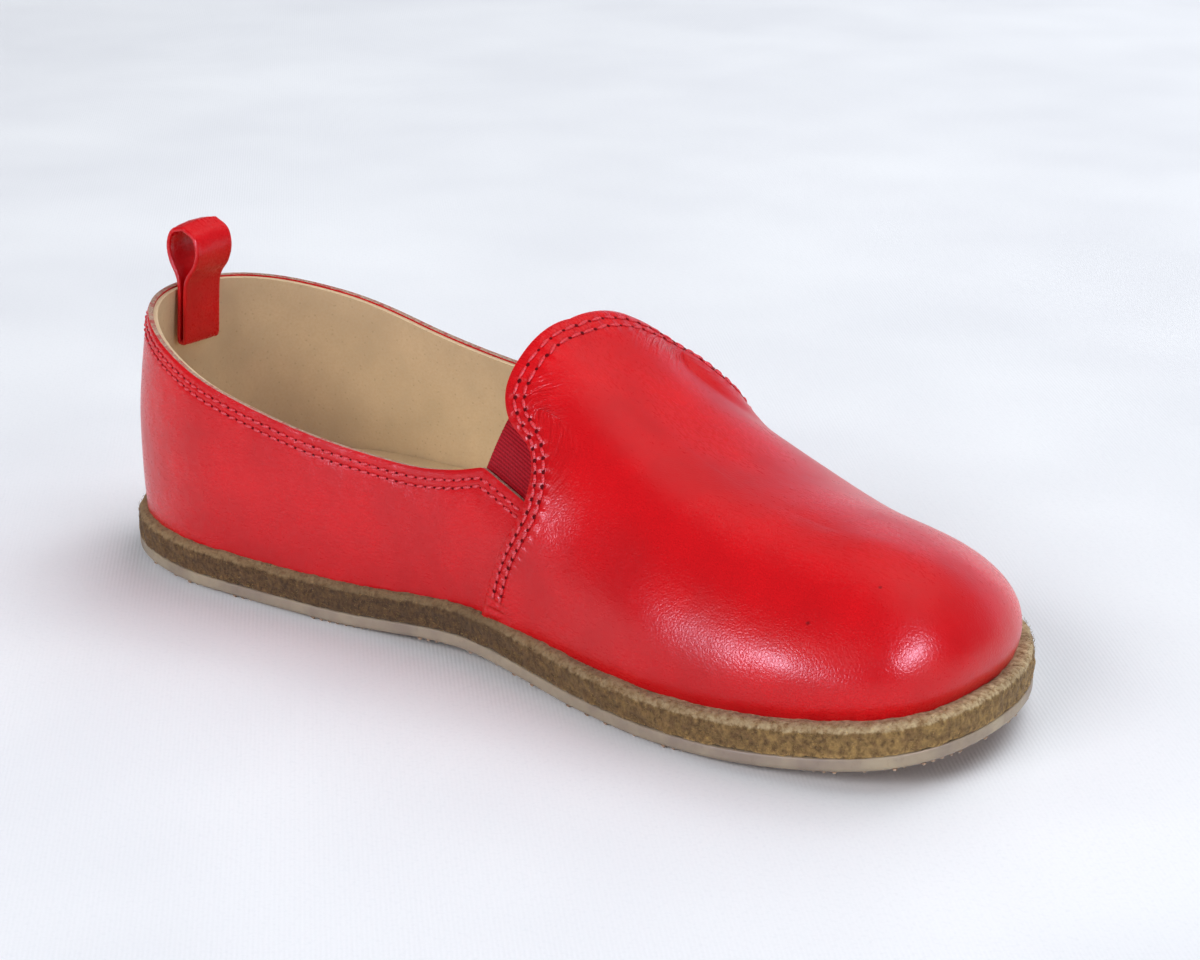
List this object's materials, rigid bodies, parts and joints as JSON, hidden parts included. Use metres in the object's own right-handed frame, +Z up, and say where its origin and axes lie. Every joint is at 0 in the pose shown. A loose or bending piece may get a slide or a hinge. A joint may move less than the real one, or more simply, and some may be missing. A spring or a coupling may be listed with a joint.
{
  "type": "slip-on shoe",
  "caption": "Child's left slip-on shoe: smooth leather upper with a rounded tongue, elastic gores and a heel pull loop on a leather midsole and thin rubber outsole.",
  "frame": {"origin": "middle of the shoe's length and width, on the ground under the outsole", "axes": "+X from the heel to the toe, +Y towards the outer side of this left shoe, +Z up; the shoe stands empty on its sole"},
  "size_m": [0.185, 0.0788, 0.06],
  "materials": {
    "rubber_amber": "translucent amber-grey crepe-like rubber with a raised dot tread",
    "midsole_leather": "raw brown split leather, rough and fibrous at the edge",
    "lining_leather": "undyed pigskin-like lining leather, matt",
    "leather_red": "smooth red calf, satin gloss, fine grain",
    "elastic_red": "ribbed woven elastic, dark red, matt",
    "loop_red": "folded strip of the red upper leather"
  },
  "bodies": {
    "root": {"outsole": "rubber_amber", "midsole": "midsole_leather", "insole": "lining_leather", "upper": "leather_red", "gore_inner": "elastic_red", "gore_outer": "elastic_red", "pull_loop": "loop_red"}
  },
  "joints": []
}
